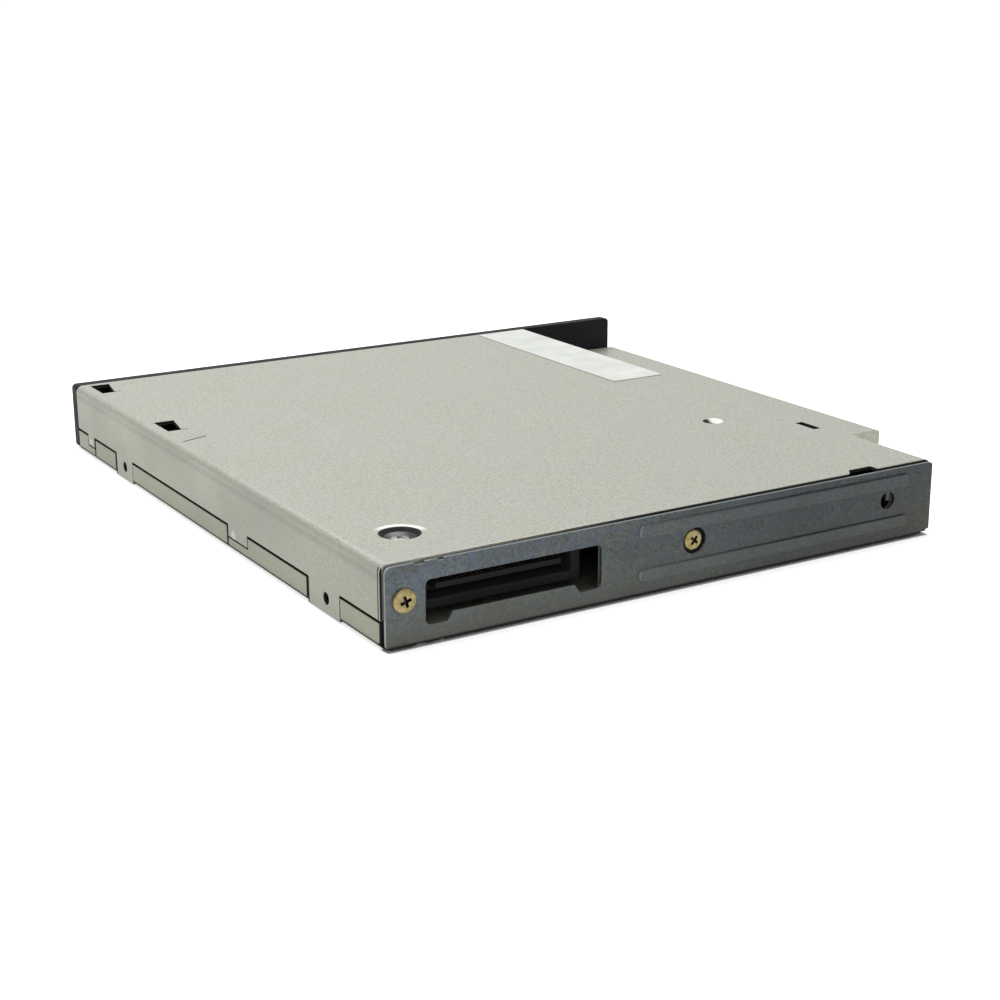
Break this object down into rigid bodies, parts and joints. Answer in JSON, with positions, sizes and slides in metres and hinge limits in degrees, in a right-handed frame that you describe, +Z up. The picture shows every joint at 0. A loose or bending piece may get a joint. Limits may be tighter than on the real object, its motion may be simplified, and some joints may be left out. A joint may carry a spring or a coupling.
{
  "type": "slim optical disc drive",
  "caption": "Slim notebook optical disc drive: flat steel case with a side ledge, rear bracket with connector cut-out, and a black tray that slides out with its bezel.",
  "frame": {"origin": "centre of the bounding box's base: the middle of the drive, on the surface it lies on with its underside up", "axes": "+Z up out of the drive's underside, +Y the way the tray opens, +X towards the ledge side"},
  "size_m": [0.128, 0.1316, 0.0128],
  "materials": {
    "bright_steel": "satin zinc-plated sheet",
    "grey_steel": "dull grey passivated sheet",
    "spring_steel": "satin",
    "yellow_zinc": "yellow-passivated screw",
    "contact_gold": "gold-flashed contacts",
    "copper_winding": "lacquered copper winding",
    "black_plastic": "fine moulded texture",
    "grey_plastic": "fine moulded texture",
    "board_green": "solder mask",
    "chip_black": "moulded package",
    "cast_alloy": "as cast",
    "rubber": "soft matt",
    "label_paper": "matt coated paper, bare",
    "socket_ivory": "moulded",
    "clear_plastic": "clear moulding",
    "ribbon_film": "laminated flat cable",
    "black_film": "thin insulating film"
  },
  "bodies": {
    "case": {"bottom_chassis": "bright_steel", "top_cover": "bright_steel", "rear_bracket": "grey_steel", "bracket_screw_left": "yellow_zinc", "bracket_screw_middle": "yellow_zinc", "chassis_screw": "spring_steel", "cover_screw_left": "spring_steel", "cover_screw_right": "spring_steel", "blank_label": "label_paper", "main_board": "board_green", "insulating_sheet": "black_film", "drive_connector": "black_plastic", "connector_contacts": "contact_gold", "controller_chip": "chip_black", "driver_chip": "chip_black", "memory_chip": "chip_black", "board_flex_socket": "socket_ivory", "flex_cable": "ribbon_film", "latch_pin": "spring_steel", "left_case_rail": "spring_steel", "right_case_rail": "spring_steel"},
    "left_slide_rail": {"left_slide_rail": "bright_steel"},
    "right_slide_rail": {"right_slide_rail": "bright_steel"},
    "tray": {"tray": "black_plastic", "mechanism_cover": "bright_steel", "front_bezel": "black_plastic", "indicator_lens": "clear_plastic", "eject_switch": "chip_black", "tray_flex_socket": "socket_ivory", "traverse_frame": "cast_alloy", "rubber_damper_1": "rubber", "rubber_damper_2": "rubber", "rubber_damper_3": "rubber", "rubber_damper_4": "rubber", "motor_base": "cast_alloy", "motor_stator": "copper_winding", "main_guide_shaft": "spring_steel", "sub_guide_shaft": "spring_steel", "sled_motor": "spring_steel", "latch_spring": "spring_steel", "latch_solenoid": "copper_winding", "eject_housing": "grey_plastic", "eject_spring": "spring_steel"},
    "eject_button": {"eject_button": "grey_plastic"},
    "spindle": {"spindle_rotor": "spring_steel", "rotor_magnet": "chip_black", "turntable_pad": "rubber"},
    "hub_claw_1": {"hub_claw_1": "grey_plastic"},
    "hub_claw_2": {"hub_claw_2": "grey_plastic"},
    "hub_claw_3": {"hub_claw_3": "grey_plastic"},
    "lead_screw": {"lead_screw": "yellow_zinc"},
    "pickup": {"pickup_sled": "cast_alloy", "actuator_yoke": "chip_black", "pickup_board": "board_green", "lead_nut": "grey_plastic"},
    "lens_holder": {"lens_holder": "black_plastic", "objective_lens": "clear_plastic"},
    "latch_lever": {"latch_lever": "grey_plastic"},
    "solenoid_plunger": {"solenoid_plunger": "spring_steel"},
    "eject_plunger": {"eject_plunger": "grey_plastic"}
  },
  "joints": [
    {"name": "tray_slide", "type": "slide", "parent": "case", "child": "tray", "axis": [0, 1, 0], "range_m": [0, 0.126], "deforming": ["flex_cable"]},
    {"name": "left_rail_slide", "type": "slide", "parent": "case", "child": "left_slide_rail", "axis": [0, 1, 0], "range_m": [0, 0.063]},
    {"name": "right_rail_slide", "type": "slide", "parent": "case", "child": "right_slide_rail", "axis": [0, 1, 0], "range_m": [0, 0.063]},
    {"name": "eject_button_press", "type": "slide", "parent": "tray", "child": "eject_button", "axis": [0, -1, 0], "range_m": [0, 0.0008], "stiffness_N_per_m": 400},
    {"name": "spindle_spin", "type": "hinge", "parent": "tray", "child": "spindle", "pos_m": [0, 0.00028, 0], "axis": [0, 0, 1], "continuous": true},
    {"name": "hub_claw_1_press", "type": "slide", "parent": "spindle", "child": "hub_claw_1", "axis": [0.7071, -0.7071, 0], "range_m": [0, 0.0005], "stiffness_N_per_m": 20},
    {"name": "hub_claw_2_press", "type": "slide", "parent": "spindle", "child": "hub_claw_2", "axis": [0.2588, 0.9659, 0], "range_m": [0, 0.0005], "stiffness_N_per_m": 20},
    {"name": "hub_claw_3_press", "type": "slide", "parent": "spindle", "child": "hub_claw_3", "axis": [-0.9659, -0.2588, 0], "range_m": [0, 0.0005], "stiffness_N_per_m": 20},
    {"name": "pickup_slide", "type": "slide", "parent": "tray", "child": "pickup", "axis": [-0.7071, 0.7071, 0], "range_m": [0, 0.0345]},
    {"name": "lead_screw_spin", "type": "hinge", "parent": "tray", "child": "lead_screw", "pos_m": [-0.02312, -0.00135, 0.007], "axis": [-0.7071, 0.7071, 0], "range_deg": [0, 4140.5]},
    {"name": "lens_focus", "type": "slide", "parent": "pickup", "child": "lens_holder", "axis": [0, 0, 1], "range_m": [-0.0005, 0.0005], "stiffness_N_per_m": 60},
    {"name": "latch_lever_swing", "type": "hinge", "parent": "tray", "child": "latch_lever", "pos_m": [0.028, -0.03873, 0.0076], "axis": [0, 0, 1], "range_deg": [0, 10.5]},
    {"name": "solenoid_plunger_slide", "type": "slide", "parent": "tray", "child": "solenoid_plunger", "axis": [0, 1, 0], "range_m": [0, 0.00096]},
    {"name": "eject_plunger_slide", "type": "slide", "parent": "tray", "child": "eject_plunger", "axis": [0, 1, 0], "range_m": [0, 0.001], "stiffness_N_per_m": 150, "deforming": ["eject_spring"]}
  ],
  "couplings": [
    {"joint": "left_rail_slide", "follows": "tray_slide", "ratio": 0.5},
    {"joint": "right_rail_slide", "follows": "tray_slide", "ratio": 0.5},
    {"joint": "lead_screw_spin", "follows": "pickup_slide", "rad_per_m": 2094.4},
    {"joint": "latch_lever_swing", "follows": "solenoid_plunger_slide", "rad_per_m": 181.82}
  ]
}
